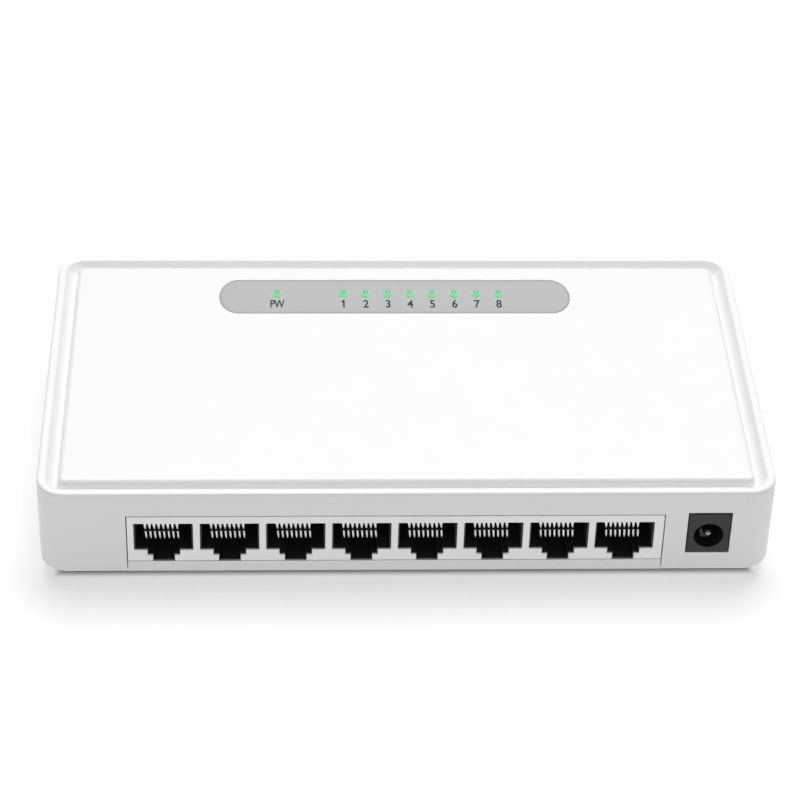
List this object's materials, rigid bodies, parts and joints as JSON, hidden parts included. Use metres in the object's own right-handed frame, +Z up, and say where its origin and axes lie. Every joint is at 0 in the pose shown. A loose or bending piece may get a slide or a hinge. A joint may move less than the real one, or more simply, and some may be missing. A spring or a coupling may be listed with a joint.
{
  "type": "desktop network switch",
  "caption": "Flat white desktop network switch: a two-part case with a row of network ports, a power inlet and an indicator strip on top.",
  "frame": {"origin": "under the middle of the case, on the plane of the feet's undersides", "axes": "+X to the right as seen from the port side, +Y from the ports to the back, +Z up"},
  "size_m": [0.1564, 0.0882, 0.0261],
  "materials": {
    "case_white": "satin moulded",
    "bezel_white": "satin moulded",
    "label_grey": "fine matt film",
    "clear_guide": "clear, lit green",
    "lamp_resin": "clear resin",
    "board_green": "solder mask",
    "jack_black": "moulded",
    "contact_metal": "bright plated",
    "inlet_black": "moulded",
    "pin_metal": "bright",
    "tinned_metal": "tinned",
    "chip_black": "moulded",
    "can_metal": "sleeved can",
    "ferrite_grey": "ferrite",
    "crystal_metal": "drawn can",
    "screw_steel": "zinc plated",
    "foot_rubber": "matt",
    "ceramic_dark": "glazed",
    "ceramic_tan": "fired"
  },
  "bodies": {
    "case": {"top_cover": "case_white", "base_cover": "case_white", "port_bezel": "bezel_white", "indicator_label": "label_grey", "light_guide": "clear_guide", "indicator_leds": "lamp_resin", "main_board": "board_green", "port_block": "jack_black", "contact_tails": "contact_metal", "inlet_housing": "inlet_black", "inlet_pin": "pin_metal", "inlet_blades": "tinned_metal", "switch_chip": "chip_black", "input_capacitor": "can_metal", "output_capacitor": "can_metal", "power_inductor": "ferrite_grey", "power_regulator": "chip_black", "clock_crystal": "crystal_metal", "case_screws": "screw_steel", "board_screws": "screw_steel", "rubber_feet": "foot_rubber", "line_resistors": "ceramic_dark", "lamp_resistors": "ceramic_dark", "filter_capacitors": "ceramic_tan", "contact_carrier_1": "jack_black", "contact_carrier_2": "jack_black", "contact_carrier_3": "jack_black", "contact_carrier_4": "jack_black", "contact_carrier_5": "jack_black", "contact_carrier_6": "jack_black", "contact_carrier_7": "jack_black", "contact_carrier_8": "jack_black", "magnetics_1": "chip_black", "magnetics_2": "chip_black", "magnetics_3": "chip_black", "magnetics_4": "chip_black"},
    "contacts_1": {"contact_springs_1": "contact_metal", "contact_comb_1": "jack_black"},
    "contacts_2": {"contact_springs_2": "contact_metal", "contact_comb_2": "jack_black"},
    "contacts_3": {"contact_springs_3": "contact_metal", "contact_comb_3": "jack_black"},
    "contacts_4": {"contact_springs_4": "contact_metal", "contact_comb_4": "jack_black"},
    "contacts_5": {"contact_springs_5": "contact_metal", "contact_comb_5": "jack_black"},
    "contacts_6": {"contact_springs_6": "contact_metal", "contact_comb_6": "jack_black"},
    "contacts_7": {"contact_springs_7": "contact_metal", "contact_comb_7": "jack_black"},
    "contacts_8": {"contact_springs_8": "contact_metal", "contact_comb_8": "jack_black"},
    "inlet_spring": {"inlet_leaf": "contact_metal"}
  },
  "joints": [
    {"name": "contacts_1_lift", "type": "hinge", "parent": "case", "child": "contacts_1", "pos_m": [-0.05165, -0.0426, 0.01654], "axis": [1, 0, 0], "range_deg": [0, 60], "stiffness_Nm_per_rad": 0.01},
    {"name": "contacts_2_lift", "type": "hinge", "parent": "case", "child": "contacts_2", "pos_m": [-0.03768, -0.0426, 0.01654], "axis": [1, 0, 0], "range_deg": [0, 60], "stiffness_Nm_per_rad": 0.01},
    {"name": "contacts_3_lift", "type": "hinge", "parent": "case", "child": "contacts_3", "pos_m": [-0.02371, -0.0426, 0.01654], "axis": [1, 0, 0], "range_deg": [0, 60], "stiffness_Nm_per_rad": 0.01},
    {"name": "contacts_4_lift", "type": "hinge", "parent": "case", "child": "contacts_4", "pos_m": [-0.00974, -0.0426, 0.01654], "axis": [1, 0, 0], "range_deg": [0, 60], "stiffness_Nm_per_rad": 0.01},
    {"name": "contacts_5_lift", "type": "hinge", "parent": "case", "child": "contacts_5", "pos_m": [0.00423, -0.0426, 0.01654], "axis": [1, 0, 0], "range_deg": [0, 60], "stiffness_Nm_per_rad": 0.01},
    {"name": "contacts_6_lift", "type": "hinge", "parent": "case", "child": "contacts_6", "pos_m": [0.0182, -0.0426, 0.01654], "axis": [1, 0, 0], "range_deg": [0, 60], "stiffness_Nm_per_rad": 0.01},
    {"name": "contacts_7_lift", "type": "hinge", "parent": "case", "child": "contacts_7", "pos_m": [0.03217, -0.0426, 0.01654], "axis": [1, 0, 0], "range_deg": [0, 60], "stiffness_Nm_per_rad": 0.01},
    {"name": "contacts_8_lift", "type": "hinge", "parent": "case", "child": "contacts_8", "pos_m": [0.04614, -0.0426, 0.01654], "axis": [1, 0, 0], "range_deg": [0, 60], "stiffness_Nm_per_rad": 0.01},
    {"name": "inlet_leaf_press", "type": "hinge", "parent": "case", "child": "inlet_spring", "pos_m": [0.0641, -0.0351, 0.00955], "axis": [1, 0, 0], "range_deg": [0, 9], "stiffness_Nm_per_rad": 0.01}
  ]
}
